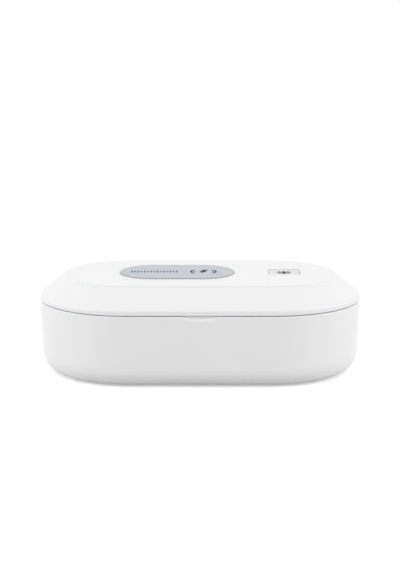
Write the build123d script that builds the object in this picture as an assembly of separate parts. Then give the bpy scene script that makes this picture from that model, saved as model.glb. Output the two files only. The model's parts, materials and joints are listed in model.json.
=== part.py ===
from build123d import *
import os
from math import atan2, cos, degrees, hypot, radians, tan

# A free-standing box that disinfects a phone with ultraviolet lamps and charges
# another one on its lid.
# Frame: +X to the right, +Y to the back, +Z up. The origin is on the table, under
# the middle of the box. The lid swings about a hidden pin line at the back rim.

# ---------------------------------------------------------------- outside sizes
box_length = 210.0
box_width = 118.0
shell_height = 46.55  # base shell, underside to rim
lid_height = 15.55  # lid, rim to raised top
lid_gap = 0.5  # shadow line between the two rims
base_draft = 1.5  # how much the base shell narrows, each side, down to its underside
base_round = 12.0  # radius where the base shell's side turns under
lid_band = 3.05  # upright rim of the lid, to where the slope would meet it
lid_round = 1.6  # radius between that rim and the slope
slope_run = 15.7  # how far the slope comes in over the rim, seen from above
top_step = 0.6  # height of the raised flat top over the crease
base_edge_round = 0.8  # radius of the base rim's outer edge
lid_edge_round = 0.5  # radius of the lid rim's outer edge
shell_wall = 2.2
lid_wall = 1.8
inner_round = 0.4  # least radius in a wall's inner corner

# ------------------------------------------------------------------- clearances
snug = 0.03  # round what is pressed or screwed in
run = 0.05  # round the hinge pins, in the lid's bores
seat = 0.2  # round what is laid in a seat
slide = 0.3  # round what moves
swing = 0.4  # round the hinge barrel

# ------------------------------------------------------------------------ hinge
pin_radius = 1.0
pin_tube_radius = 1.5
pin_tube_bore = 1.0
barrel_radius = 2.4
hinge_drop = 5.0  # pin line under the base rim
tongue_length = 60.0
tongue_thick = 4.1
pin_grip_lid = 6.0
pin_grip_base = 9.0
hinge_block_length = 90.0
hinge_block_drop = 8.1
hinge_block_wall = 1.4
lid_stop_angle = 100.0  # degrees

# ------------------------------------------------- chamber tub and its surroundings
chamber_inset = 8.6  # chamber wall, at its mouth, from the outside
chamber_draft = 1.0
chamber_depth = 24.6  # from the flange's top
tub_wall = 1.6
tub_round = 6.0
flange_thick = 2.0
flange_drop = 1.0  # flange's top under the base rim
lip_inset = 4.4
lip_thick = 1.6
lip_height = 3.15
lip_round = 0.4
mouth_round = 0.6
ledge_width = 2.4
ledge_thick = 1.6

# ---------------------------------------------------- ultraviolet lamps, two alike
trough_half_length = 60.0
trough_half_width = 8.0
trough_depth = 8.5
guard_thick = 1.2
guard_shoulder = 1.0
guard_bar = 2.0
guard_windows = 11
reflector_thick = 0.5
reflector_floor = 4.4  # half width of its flat bottom
lamp_radius = 2.2
lamp_end_room = 8.0  # from the tube to the trough's end
boot_radius = 3.4
boot_length = 10.0
boot_grip = 6.0
lead_radius = 0.8
thin_lead_radius = 0.6

# ------------------------------------------------- soft pads that the lid rests on
rim_pad_length = 8.0
rim_pad_depth = 1.2
rim_pad_proud = 0.4
rim_pad_gap = 0.2
rim_pad_x = 38.0

# ------------------------------------------------------------------ phone rests
rest_x = 50.0
rest_y = 27.0
rest_length = 26.0
rest_width = 5.0
rest_height = 5.0
rest_peg_radius = 1.5
rest_peg_spacing = 16.0

# ------------------------------------------------------- feet, screws and posts
foot_proud = 0.8
foot_recess = 1.2
foot_radius = 6.0
foot_x = 62.0
foot_side_inset = 29.0
main_screw_radius = 1.5
main_screw_length = 10.0
main_head_radius = 2.8
main_head_height = 2.0
main_boss_radius = 7.4
main_boss_height = 5.0
head_floor = 3.8  # from the underside up to what the screw heads press on
tub_post_radius = 3.5
small_screw_radius = 1.1
small_head_radius = 2.2
small_head_height = 1.4
small_boss_radius = 3.0
cross_width = 0.8
cross_depth = 0.8

# ----------------------------------------------------------------------- boards
board_thick = 1.6
board_standoff = 1.8
main_board_x = 45.0
main_board_depth = 32.5
main_board_inset = 4.5  # its back edge from the box's back
driver_board_x = 38.0
driver_board_depth = 26.0
driver_board_inset = 15.0  # its front edge from the box's front
plug_width = 13.0
plug_height = 7.0
plug_corner = 2.4
usb_width = 8.94
usb_height = 3.26
usb_depth = 7.35
usb_wall = 0.31
usb_setback = 0.3
sensor_board_height = 9.0
sensor_board_width = 8.0

# -------------------------------------------------------- lid: pad, coil, button
pad_x = -14.9
pad_y = 0.6
pad_length = 74.8
pad_width = 43.5
pad_thick = 2.0
pad_recess = 1.2
pad_seat = 3.0
pad_edge = 0.5
coil_outer = 21.5
coil_inner = 10.5
coil_thick = 1.2
coil_lead_radius = 0.35
ferrite_length = 44.8
ferrite_width = 42.0
ferrite_thick = 1.4
charger_board_left = -44.0
charger_board_right = 14.0
charger_board_front = -20.6
charger_board_back = 27.0
button_x = 55.15
button_y = 2.1
button_length = 20.3
button_width = 18.7
button_corner = 1.8
button_recess = 0.4
button_flange = 1.2
button_travel = 0.6
switch_board_x = 13.2
switch_board_y = 16.4
switch_side = 6.0
switch_height = 3.4
plunger_radius = 1.7
plunger_proud = 0.8
plunger_length = 1.7
liner_thick = 1.6
liner_screw_x = 78.0
liner_screw_y = 22.0
liner_middle_x = 20.0
liner_middle_inset = 22.0
liner_cup_radius = 4.0
liner_cup_height = 3.2
liner_cup_floor = 1.4
magnet_radius = 3.0
magnet_thick = 3.0
magnet_inset = 11.2
lid_lamp_inset = 28.3

# ------------------------------------------------------------------- thumb notch
notch_width = 28.0
notch_depth = 3.3
notch_reach = 1.5  # how far it cuts back into the rim
notch_slant = 48.0  # degrees that its lower face rises on the way back
notch_edge_round = 0.7  # radius where it meets the shell's front
notch_blend = 9.0  # radius where the notch runs out into the rim
notch_backing = 1.6  # extra wall behind the notch

# ------------------------------------------------------- worked out from the above
end_radius = box_width / 2
spine = box_length / 2 - end_radius  # half the straight stretch of the plan
underside = foot_proud
rim = underside + shell_height
lid_rim = rim + lid_gap
lid_top = lid_rim + lid_height
crease = lid_top - top_step
ceiling = lid_top - lid_wall
lid_corner = lid_rim + lid_band
crease_radius = end_radius - slope_run

shell_floor = underside + shell_wall
flange_top = rim - flange_drop
flange_bottom = flange_top - flange_thick
chamber_radius = end_radius - chamber_inset
chamber_floor = flange_top - chamber_depth
tub_bottom = chamber_floor - tub_wall
lip_outer = end_radius - lip_inset
lip_top = flange_top + lip_height
liner_bottom = lip_top + rim_pad_proud + rim_pad_gap
liner_top = liner_bottom + liner_thick

hinge_y = end_radius - barrel_radius
hinge_z = rim - hinge_drop
tongue_half = tongue_length / 2
tongue_inner = end_radius - tongue_thick
notch_half = tongue_half + slide
hinge_block_inner = hinge_y - barrel_radius - swing - hinge_block_wall
hinge_block_bottom = hinge_z - hinge_block_drop + barrel_radius
stop_turn = radians(lid_stop_angle - 90)
# The tongue's outer face comes down to this height when the lid meets its stop.
tongue_reach = barrel_radius / cos(stop_turn) + barrel_radius * tan(stop_turn)

tongue_top = liner_bottom + 0.7
foot_y = box_width / 2 - foot_side_inset
lamp_half_length = trough_half_length - lamp_end_room
lamp_lead_x = trough_half_length + tub_wall + 4.4  # how far out the lamps' leads go
lid_lamp_y = lid_lamp_inset - box_width / 2
liner_middle_y = box_width / 2 - liner_middle_inset
magnet_x = box_length / 2 - magnet_inset

lead_meet = tongue_half - pin_grip_lid - 3.0  # where the lead's two halves join
lead_rise = lead_meet - 4.0  # where it turns up into the lid
lead_lean = 1.4

main_board_back = end_radius - main_board_inset
main_board_front = main_board_back - main_board_depth
driver_board_front = driver_board_inset - end_radius
driver_board_back = driver_board_front + driver_board_depth
main_board_top = tub_bottom - board_standoff
main_board_bottom = main_board_top - board_thick
usb_z = main_board_bottom - usb_height / 2
wall_inside_back = end_radius - shell_wall - base_draft * (rim - usb_z) / shell_height

charger_board_top = ceiling - seat - coil_thick - ferrite_thick
charger_board_bottom = charger_board_top - board_thick
button_top = lid_top - button_recess
button_flange_top = ceiling - slide
button_flange_bottom = button_flange_top - button_flange
plunger_top = button_flange_bottom - main_screw_radius / 3
switch_top = plunger_top - plunger_proud
switch_board_top = switch_top - switch_height
switch_board_bottom = switch_board_top - board_thick
lead_hole = lead_radius + slide


# ------------------------------------------------------------------ small helpers
def block(x0, x1, y0, y1, z0, z1):
    """A box between two corners."""
    return Pos((x0 + x1) / 2, (y0 + y1) / 2, (z0 + z1) / 2) * Box(x1 - x0, y1 - y0, z1 - z0)


def post(x, y, z0, z1, radius):
    """An upright cylinder."""
    return Pos(x, y, (z0 + z1) / 2) * Cylinder(radius, z1 - z0)


def rod(x0, x1, y, z, radius):
    """A cylinder along X."""
    return Pos((x0 + x1) / 2, y, z) * Rot(0, 90, 0) * Cylinder(radius, x1 - x0)


def outline(points, rounds=None):
    """A flat face from its corners; rounds gives a radius to some of them."""
    face = make_face(Polyline(*points, close=True))
    for number, radius in (rounds or {}).items():
        corner = face.vertices().sort_by_distance(points[number])[0]
        face = fillet(corner, radius)
    return face


def around_spine(face):
    """Carries a half section, drawn as (radius, height), round the box's long plan."""
    upright = Plane.YZ * face
    back = extrude(Pos(-spine, 0, 0) * upright, amount=2 * spine, dir=(1, 0, 0))
    right = revolve(Pos(spine, 0, 0) * upright, Axis((spine, 0, 0), (0, 0, 1)), -180)
    whole = back + mirror(back, about=Plane.XZ) + right + mirror(right, about=Plane.YZ)
    return whole.clean()


def long_plate(x, y, length, width, z0, z1):
    """A plate with fully rounded ends."""
    plan = SlotOverall(length, width)
    return Pos(x, y, z0) * extrude(plan, amount=z1 - z0)


def round_plate(x, y, length, width, corner, z0, z1):
    """A rectangular plate with rounded corners."""
    plan = RectangleRounded(length, width, corner)
    return Pos(x, y, z0) * extrude(plan, amount=z1 - z0)


def corners(x, y):
    """The four places at plus and minus x and y."""
    return [(sx * x, sy * y) for sx in (-1, 1) for sy in (-1, 1)]


def screw(radius, length, head_radius, head_height):
    """A pan-head screw that points up, with the top of its shank's start at the origin."""
    shank = Pos(0, 0, length / 2) * Cylinder(radius, length)
    head = Pos(0, 0, -head_height / 2) * Cylinder(head_radius, head_height)
    head = fillet(head.edges().sort_by(Axis.Z)[0], head_height / 3)
    cross = Box(head_radius * 1.2, cross_width, cross_depth * 2)
    cross += Rot(0, 0, 90) * cross
    return shank + head - Pos(0, 0, -head_height) * cross


def lead(points, bend, radius=lead_radius):
    """A round wire along straight runs joined by arcs."""
    path = FilletPolyline(*points, radius=bend)
    start = Vector(*points[0])
    section = Plane(start, z_dir=Vector(*points[1]) - start) * Circle(radius)
    return sweep(section, path=path)


# ---------------------------------------------------------------------- the base
def base_section(inset):
    """Half section of the base shell's outside, or of its inside at a wall's inset."""
    bottom = underside + inset
    bottom_radius = end_radius - inset - base_draft * (rim - bottom) / shell_height
    points = [
        (0, bottom),
        (bottom_radius, bottom),
        (end_radius - inset, rim),
        (0, rim),
    ]
    rounds = {1: base_round - inset}
    if inset == 0:
        rounds[2] = base_edge_round
    return outline(points, rounds)


notch_radius = ((notch_width / 2) ** 2 + notch_depth**2) / (2 * notch_depth)
notch_centre = notch_radius - notch_depth  # height over the rim
notch_end = ((notch_radius + notch_blend) ** 2 - (notch_centre + notch_blend) ** 2) ** 0.5


def thumb_notch():
    """The bevelled scoop in the front rim, where a thumb gets under the lid."""
    turn = degrees(atan2(notch_end, notch_centre + notch_blend))
    above = 3 * notch_depth
    edge = CenterArc((-notch_end, -notch_blend), notch_blend, 90, -turn)
    edge += CenterArc((0, notch_centre), notch_radius, 270 - turn, 2 * turn)
    edge += CenterArc((notch_end, -notch_blend), notch_blend, 90 + turn, -turn)
    edge += Polyline((notch_end, 0), (notch_end, above), (-notch_end, above), (-notch_end, 0))
    face = make_face(edge)
    scoop = extrude(Plane.XZ * face, amount=-notch_reach, taper=notch_slant)
    return Pos(0, -end_radius, rim) * scoop


def make_base_shell():
    shell = around_spine(base_section(0)) - around_spine(base_section(shell_wall))
    inside = end_radius - shell_wall
    ledge = [
        (inside + shell_wall / 2, flange_bottom),
        (inside - ledge_width, flange_bottom),
        (inside - ledge_width, flange_bottom - ledge_thick),
        (inside + shell_wall / 2, flange_bottom - ledge_thick - 2 * ledge_width),
    ]
    shell += around_spine(outline(ledge))
    shell += notch_wall()
    for x, y in corners(foot_x, foot_y):
        shell += post(x, y, shell_floor - shell_wall / 2, shell_floor + main_boss_height, main_boss_radius)
    shell += block(
        -hinge_block_length / 2,
        hinge_block_length / 2,
        hinge_block_inner,
        hinge_y + 1,
        hinge_block_bottom,
        flange_bottom,
    )
    for x, y in corners(foot_x, foot_y):
        shell -= post(x, y, underside - 1, underside + foot_recess, foot_radius + seat / 2)
        shell -= post(x, y, underside, underside + head_floor, main_head_radius + slide)
        shell -= post(x, y, underside, rim, main_screw_radius + seat)
    shell -= hinge_well()
    shell -= plug_hole()
    shell -= lead_groove()
    shell -= thumb_notch()
    notch_edge = shell.edges().sort_by_distance((0, -end_radius, rim - notch_depth))[0]
    return fillet(notch_edge, notch_edge_round)


notch_wall_inner = end_radius - shell_wall - notch_backing
notch_wall_half = notch_end + notch_backing


def notch_wall():
    """A thicker stretch of the front rim, so that the thumb notch stays closed behind."""
    return block(
        -notch_wall_half,
        notch_wall_half,
        shell_wall / 2 - end_radius,
        -notch_wall_inner,
        flange_bottom - ledge_thick,
        rim,
    )


def hinge_well():
    """Room for the lid's tongue, at rest and while it swings out to its stop."""
    barrel = rod(-notch_half, notch_half, hinge_y, hinge_z, barrel_radius + swing)
    upright = block(
        -notch_half, notch_half, tongue_inner - slide, end_radius + 1, hinge_z, rim + 1
    )
    outward = block(
        -notch_half, notch_half, hinge_y, end_radius + 1, hinge_z - tongue_reach - slide, hinge_z
    )
    left = rod(-notch_half - pin_grip_base, 0, hinge_y, hinge_z, pin_radius + snug)
    right = rod(0, notch_half + pin_grip_base, hinge_y, hinge_z, pin_tube_radius + snug)
    return barrel + upright + outward + left + right


def plug_hole():
    """The opening at the back that a charging plug goes through."""
    plan = RectangleRounded(plug_width, plug_height, plug_corner)
    hole = extrude(Plane.XZ * plan, amount=3 * shell_wall, both=True)
    return Pos(0, end_radius - shell_wall, usb_z) * hole


lead_x = notch_half + pin_grip_base + lead_radius + slide
lead_inner = hinge_block_inner + lead_hole


def lead_groove():
    """The groove that takes the lid's supply lead from the pin tube down into the base."""
    return block(
        lead_x - 2 * lead_radius,
        lead_x + 2 * lead_radius,
        hinge_block_inner - 1,
        hinge_y + lead_hole,
        hinge_block_bottom - ledge_width * 3,
        hinge_z + lead_hole,
    )


def make_chamber_tub():
    mouth = chamber_radius
    low = chamber_radius - chamber_draft
    flange_edge = end_radius - shell_wall - seat
    points = [
        (0, tub_bottom),
        (low + tub_wall, tub_bottom),
        (mouth + tub_wall, flange_bottom),
        (flange_edge, flange_bottom),
        (flange_edge, flange_top),
        (lip_outer, flange_top),
        (lip_outer, lip_top),
        (lip_outer - lip_thick, lip_top),
        (lip_outer - lip_thick, flange_top),
        (mouth, flange_top),
        (low, chamber_floor),
        (0, chamber_floor),
    ]
    rounds = {1: tub_round + tub_wall, 10: tub_round, 9: mouth_round, 7: lip_round, 6: lip_round}
    tub = around_spine(outline(points, rounds))
    tub += Pos(0, 0, chamber_floor) * trough_box()
    for x, y in corners(foot_x, foot_y):
        tub += post(x, y, shell_floor + main_boss_height, tub_bottom + tub_wall / 2, tub_post_radius)
    for x, y in main_board_holes() + driver_board_holes():
        tub += post(x, y, main_board_top, tub_bottom + tub_wall / 2, small_boss_radius)
    tub += sensor_seat()
    tub -= Pos(0, 0, chamber_floor) * trough_room()
    tub -= block(-notch_half - 1, notch_half + 1, lip_outer, end_radius, tub_bottom, rim)
    tub -= block(
        -notch_wall_half - seat,
        notch_wall_half + seat,
        -end_radius,
        -notch_wall_inner + seat,
        tub_bottom,
        rim,
    )
    tub -= lip_cut(lead_rise, 1, 2 * lead_hole, lip_height / 2)
    for x, side in rim_pad_places():
        tub -= lip_cut(x, side, rim_pad_length / 2 + snug, rim_pad_depth)
    for x, y in corners(foot_x, foot_y):
        tub -= post(x, y, underside, main_post_hole_top(), main_screw_radius + snug)
    for x, y in main_board_holes() + driver_board_holes():
        tub -= post(x, y, underside, main_board_top + small_hole_depth(), small_screw_radius + snug)
    for x, y in rest_pegs():
        tub -= post(x, y, tub_bottom - 1, chamber_floor + 1, rest_peg_radius + snug)
    return tub


def lip_cut(x, side, half, depth):
    """A notch in the top of the lip, at the back or the front (side 1 or -1)."""
    y0, y1 = sorted((side * (lip_outer - 2 * lip_thick), side * (lip_outer + lip_thick)))
    return block(x - half, x + half, y0, y1, lip_top - depth, lip_top + 1)


def rim_pad_places():
    return [(x, side) for side in (-1, 1) for x in (-rim_pad_x, rim_pad_x)]


def make_rim_pads():
    """Soft pads let into the lip, which the closed lid comes down on."""
    pads = []
    for x, side in rim_pad_places():
        y0, y1 = sorted((side * (lip_outer - lip_thick), side * lip_outer))
        half = rim_pad_length / 2
        pads.append(block(x - half, x + half, y0, y1, lip_top - rim_pad_depth, lip_top + rim_pad_proud))
    return pads


def main_post_hole_top():
    return underside + head_floor + main_screw_length + 1


def small_hole_depth():
    return board_standoff + tub_wall - 0.8


def main_board_holes():
    x = main_board_x - 5
    y0, y1 = main_board_front + 4, main_board_back - 13.5
    return [(-x, y0), (x, y0), (-x, y1), (x, y1)]


def driver_board_holes():
    x = driver_board_x - 4
    y0, y1 = driver_board_front + 5, driver_board_back - 4
    return [(-x, y0), (x, y0), (-x, y1), (x, y1)]


def rest_places():
    return corners(rest_x, rest_y)


def rest_pegs():
    half = rest_peg_spacing / 2
    return [(x, y + dy) for x, y in rest_places() for dy in (-half, half)]


def make_phone_rests():
    """Soft bars that hold the phone clear of the lower lamp, each with two pegs."""
    bars = []
    for x, y in rest_places():
        bar = Pos(x, y, chamber_floor) * Box(
            rest_width, rest_length, rest_height, align=(Align.CENTER, Align.CENTER, Align.MIN)
        )
        bar = fillet(bar.edges().group_by(Axis.Z)[-1], rest_width / 3)
        for dy in (-rest_peg_spacing / 2, rest_peg_spacing / 2):
            bar += post(x, y + dy, tub_bottom, chamber_floor + 1, rest_peg_radius)
        bars.append(bar)
    return bars


def make_rubber_feet():
    feet = []
    for x, y in corners(foot_x, foot_y):
        foot = post(x, y, 0, underside + foot_recess, foot_radius)
        foot = fillet(foot.edges().sort_by(Axis.Z)[0], foot_proud / 2)
        feet.append(foot)
    return feet


def make_base_screws():
    body = screw(main_screw_radius, main_screw_length, main_head_radius, main_head_height)
    return [Pos(x, y, underside + head_floor) * body for x, y in corners(foot_x, foot_y)]


# --------------------------------------------------- a lamp set, for tub and lid alike
# It is drawn hanging under a floor at height 0, and turned over for the lid.
trough_bottom = -trough_depth
lamp_z = trough_bottom + reflector_thick + boot_radius


def trough_box():
    """The outside of the trough that a lamp lies in."""
    return block(
        -trough_half_length - tub_wall,
        trough_half_length + tub_wall,
        -trough_half_width - tub_wall,
        trough_half_width + tub_wall,
        trough_bottom - tub_wall,
        -tub_wall / 2,
    )


def trough_room():
    """What is cut away for the lamp, for its guard's seat and for its leads."""
    room = block(
        -trough_half_length,
        trough_half_length,
        -trough_half_width,
        trough_half_width,
        trough_bottom,
        1,
    )
    rebate_x = trough_half_length + guard_shoulder
    rebate_y = trough_half_width + guard_shoulder
    room += block(-rebate_x, rebate_x, -rebate_y, rebate_y, -guard_thick, 1)
    reach = trough_half_length + 2 * tub_wall
    return room + rod(-reach, reach, 0, lamp_z, lead_hole)


def lamp_reflector():
    """A folded strip of bright sheet: flat bottom, two raised sides."""
    half = trough_half_width - seat
    top = -guard_thick - seat
    low = trough_bottom + reflector_thick
    points = [
        (-half, top),
        (-reflector_floor - reflector_thick, trough_bottom),
        (reflector_floor + reflector_thick, trough_bottom),
        (half, top),
        (half - reflector_thick, top),
        (reflector_floor, low),
        (-reflector_floor, low),
        (-half + reflector_thick, top),
    ]
    length = trough_half_length - seat
    return extrude(Plane.YZ * outline(points), amount=length, both=True)


def lamp_tube():
    """The closed quartz tube, as a wall with its gas inside left open."""
    glass = rod(-lamp_half_length, lamp_half_length, 0, lamp_z, lamp_radius)
    glass = fillet(glass.edges(), lamp_radius * 0.6)
    hollow = lamp_half_length - 1.5
    return glass - rod(-hollow, hollow, 0, lamp_z, lamp_radius - 0.5)


def lamp_boots():
    """Soft end caps: square under, round over, with a socket for the tube's end."""
    boots = []
    inner = lamp_half_length - boot_grip
    outer = inner + boot_length
    for side in (-1, 1):
        x0, x1 = sorted((side * inner, side * outer))
        boot = rod(x0, x1, 0, lamp_z, boot_radius)
        boot += block(x0, x1, -boot_radius, boot_radius, lamp_z - boot_radius, lamp_z)
        s0, s1 = sorted((side * (inner - 1), side * lamp_half_length))
        boot -= rod(s0, s1, 0, lamp_z, lamp_radius + snug)
        h0, h1 = sorted((side * lamp_half_length, side * (outer + 1)))
        boot -= rod(h0, h1, 0, lamp_z, lead_radius + snug)
        boots.append(boot)
    return boots


def lamp_guard():
    """A flat grille, flush with the floor, that keeps the phone off the lamp."""
    half_x = trough_half_length + guard_shoulder - seat
    half_y = trough_half_width + guard_shoulder - seat
    guard = block(-half_x, half_x, -half_y, half_y, -guard_thick, 0)
    span = 2 * (trough_half_length - guard_bar)
    pitch = span / guard_windows
    window_y = trough_half_width - guard_bar / 2
    for number in range(guard_windows):
        x = -span / 2 + pitch * (number + 0.5)
        hole = round_plate(x, 0, pitch - guard_bar, 2 * window_y, 1, -2 * guard_thick, guard_thick)
        guard -= hole
    return guard


def lamp_leads(far_points):
    """Two wires from the boots' outer ends; far_points gives the right and left ways on."""
    start = lamp_half_length + seat
    wires = []
    for side, points, bends in far_points:
        route = [(side * start, 0, lamp_z)] + points
        wires.append(lead(route, bends))
    return wires


base_lamp_place = Pos(0, 0, chamber_floor)
lid_lamp_place = Pos(0, lid_lamp_y, liner_bottom) * Rot(180, 0, 0)


def placed(place, shape):
    """The same shape or list of shapes, moved to a place."""
    if isinstance(shape, list):
        return [place * one for one in shape]
    return place * shape


# ------------------------------------------------------------- boards in the base
def drilled_board(x0, x1, y0, y1, bottom, holes):
    board = block(x0, x1, y0, y1, bottom, bottom + board_thick)
    board = fillet(board.edges().filter_by(Axis.Z), 1.5)
    for x, y in holes:
        board -= post(x, y, bottom - 1, bottom + board_thick + 1, small_screw_radius + seat)
    return board


def make_main_board():
    return drilled_board(
        -main_board_x,
        main_board_x,
        main_board_front,
        main_board_back,
        main_board_bottom,
        main_board_holes(),
    )


def make_driver_board():
    return drilled_board(
        -driver_board_x,
        driver_board_x,
        driver_board_front,
        driver_board_back,
        main_board_bottom,
        driver_board_holes(),
    )


def hung(x, y, length, width, height, top):
    """A component of a board, hanging under it."""
    return block(x - length / 2, x + length / 2, y - width / 2, y + width / 2, top - height, top)


supply_plug_x = main_board_x - 6.0
supply_plug_y = main_board_back - 6.5
supply_plug_end = supply_plug_x + 4.0
supply_plug_height = 4.8
sensor_plug_x = main_board_x - 3.5
sensor_plug_y = main_board_front + 11.5
sensor_plug_end = sensor_plug_x + 3.0
small_plug_height = 3.8
driver_lead_x = 24.0
driver_plug_x = driver_board_x - 4.0
driver_plug_y = driver_board_front + 14.0
driver_plug_end = driver_plug_x + 3.5


def make_main_board_parts():
    """Chips, coils, plugs and two tall capacitors under the board."""
    top = main_board_bottom
    front = main_board_front
    chips = [
        hung(-8, front + 11, 7, 7, 1.2, top),
        hung(12, front + 9, 5, 6, 1.5, top),
        hung(-24, front + 12, 8, 8, 4.2, top),
        hung(24, front + 10, 6.5, 6.5, 3.2, top),
        hung(-30, front + 25, 10, 6, 5.5, top),
        hung(supply_plug_x, supply_plug_y, 8, 6.5, supply_plug_height, top),
        hung(sensor_plug_x, sensor_plug_y, 6, 5, small_plug_height, top),
        hung(driver_lead_x, front + 2.4, 6, 4, small_plug_height, top),
    ]
    for x in (-17.0, -9.5):
        chips.append(post(x, front + 23, top - 7.5, top, 3.2))
    return chips


def make_usb_shell():
    outside = RectangleRounded(usb_width, usb_height, usb_height / 2 - 0.15)
    inside = RectangleRounded(
        usb_width - 2 * usb_wall, usb_height - 2 * usb_wall, usb_height / 2 - 0.15 - usb_wall
    )
    rear = wall_inside_back - usb_setback - usb_depth
    ring = extrude(Plane.XZ * (outside - inside), amount=-usb_depth)
    back = extrude(Plane.XZ * inside, amount=-usb_wall)
    return Pos(0, rear, usb_z) * (ring + back)


def make_usb_tongue():
    front = wall_inside_back - usb_setback
    rear = front - usb_depth + usb_wall
    width = usb_width - 2 * usb_wall - 2 * snug
    height = usb_height - 2 * usb_wall - 2 * snug
    core = RectangleRounded(width, height, height / 2 - 0.15)
    core = Pos(0, rear + 2.0, usb_z) * extrude(Plane.XZ * core, amount=2.0)
    blade = block(-3.35, 3.35, rear + 1, front - 1.2, usb_z - 0.35, usb_z + 0.35)
    return core + blade


def make_lamp_transformer():
    """Bobbin and core of the transformer that drives the lamps."""
    top = main_board_bottom
    x, y = -6, driver_board_front + 13
    core = hung(x, y, 20, 13, 8.5, top)
    core -= hung(x, y, 12, 9, 5.0, top - 6.0)
    return core + hung(x, y, 11, 15, 6.0, top)


def make_driver_parts():
    """A coil, a chip, a diode, plugs and a capacitor under the lamp driver board."""
    top = main_board_bottom
    front = driver_board_front
    parts = [
        hung(13, front + 20, 10, 5, 7.0, top),
        hung(13, front + 8, 6, 5, 1.6, top),
        hung(-24, front + 19.5, 8, 5, 2.4, top),
        hung(driver_lead_x, driver_board_back - 2.4, 6, 4, small_plug_height, top),
        post(22, front + 6, top - 8.0, top, 3.0),
    ]
    for side in (-1, 1):
        parts.append(hung(side * driver_plug_x, driver_plug_y, 7, 6, supply_plug_height, top))
    return parts


def make_board_screws():
    body = screw(
        small_screw_radius, board_thick + small_hole_depth() - 0.3, small_head_radius, small_head_height
    )
    holes = main_board_holes() + driver_board_holes()
    return [Pos(x, y, main_board_bottom) * body for x, y in holes]


sensor_face = spine + chamber_radius + tub_wall + 0.4
sensor_bottom = flange_bottom - 1.6 - sensor_board_height


def sensor_seat():
    """A flat on the tub's right end, for the sensor that feels the lid's magnet."""
    half = sensor_board_width / 2
    return block(
        sensor_face - tub_wall, sensor_face, -half, half, sensor_bottom, sensor_bottom + sensor_board_height
    )


def make_lid_sensor():
    half = sensor_board_width / 2
    top = sensor_bottom + sensor_board_height
    board = block(sensor_face, sensor_face + 1.0, -half, half, sensor_bottom, top)
    chip = block(sensor_face + 1.0, sensor_face + 1.9, -1.6, 1.6, top - 4.0, top - 1.0)
    return board + chip


def make_hinge_pin():
    return rod(
        -notch_half - pin_grip_base + seat, -tongue_half + pin_grip_lid, hinge_y, hinge_z, pin_radius
    )


def make_hinge_tube():
    x0 = tongue_half - pin_grip_lid
    x1 = notch_half + pin_grip_base - seat
    return rod(x0, x1, hinge_y, hinge_z, pin_tube_radius) - rod(
        x0 - 1, x1 + 1, hinge_y, hinge_z, pin_tube_bore
    )


def make_hinge_lead_base():
    """The lid's supply lead, from inside the pin tube down to the main board."""
    plug_z = main_board_bottom - supply_plug_height / 2
    points = [
        (lead_meet, hinge_y, hinge_z),
        (lead_x, hinge_y, hinge_z),
        (lead_x, lead_inner + 0.2, hinge_z - 3.0),
        (lead_x + 1.0, lead_inner, flange_bottom - 14.6),
        (lead_x + 7.0, lead_inner - 2.5, tub_bottom + 0.6),
        (supply_plug_end + 6.5, supply_plug_y, plug_z),
        (supply_plug_end, supply_plug_y, plug_z),
    ]
    return lead(points, [1.5, 1.6, 8.0, 4.0, 2.2])


def make_sensor_lead():
    """The sensor's lead, round the tub's right end to the main board."""
    plug_z = main_board_bottom - small_plug_height / 2
    points = [
        (sensor_face + thin_lead_radius, 0, sensor_bottom),
        (sensor_face + thin_lead_radius, 0, sensor_bottom - 12.0),
        (sensor_face - 7.0, 8.0, tub_bottom - 5.4),
        (foot_x + 8.0, foot_y + 8.0, plug_z),
        (sensor_plug_end + 8.0, sensor_plug_y, plug_z),
        (sensor_plug_end, sensor_plug_y, plug_z),
    ]
    return lead(points, [5.0, 6.0, 8.0, 6.0], radius=thin_lead_radius)


def make_driver_lead():
    """From the main board, under the lamp's trough, to the lamp driver board."""
    high = main_board_bottom - small_plug_height / 2
    low = chamber_floor - trough_depth - tub_wall - 2.0
    under = trough_half_width + tub_wall
    points = [
        (driver_lead_x, main_board_front + 0.4, high),
        (driver_lead_x, main_board_front - 4.0, high),
        (driver_lead_x, under + 1.4, low),
        (driver_lead_x, 0.6 - under, low),
        (driver_lead_x, driver_board_back + 4.0, high),
        (driver_lead_x, driver_board_back - 0.4, high),
    ]
    return lead(points, [3.5, 4.0, 4.0, 3.5], radius=thin_lead_radius)


def make_base_lamp_leads():
    plug_z = main_board_bottom - supply_plug_height / 2 - chamber_floor
    ways = []
    for side in (-1, 1):
        points = [
            (side * lamp_lead_x, 0, lamp_z),
            (side * (lamp_lead_x - 2.0), driver_plug_y / 2, lamp_z - 2.0),
            (side * (driver_plug_end + 12.5), driver_plug_y, plug_z),
            (side * driver_plug_end, driver_plug_y, plug_z),
        ]
        ways.append((side, points, [3.5, 6.0, 4.0]))
    return placed(base_lamp_place, lamp_leads(ways))


# ----------------------------------------------------------------------- the lid
def lid_section(inset, bottom, flat):
    """Half section of the lid: upright rim, slope and a flat at a given height."""
    rise = crease - lid_corner
    slope = hypot(slope_run, rise)
    corner_z = lid_corner - inset * (slope - rise) / slope_run
    flat_radius = end_radius - (inset * slope + (flat - lid_corner) * slope_run) / rise
    points = [
        (0, bottom),
        (end_radius - inset, bottom),
        (end_radius - inset, corner_z),
        (flat_radius, flat),
        (0, flat),
    ]
    rounds = {2: max(lid_round - inset, inner_round)}
    if inset == 0:
        rounds[1] = lid_edge_round
    return outline(points, rounds)


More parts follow.
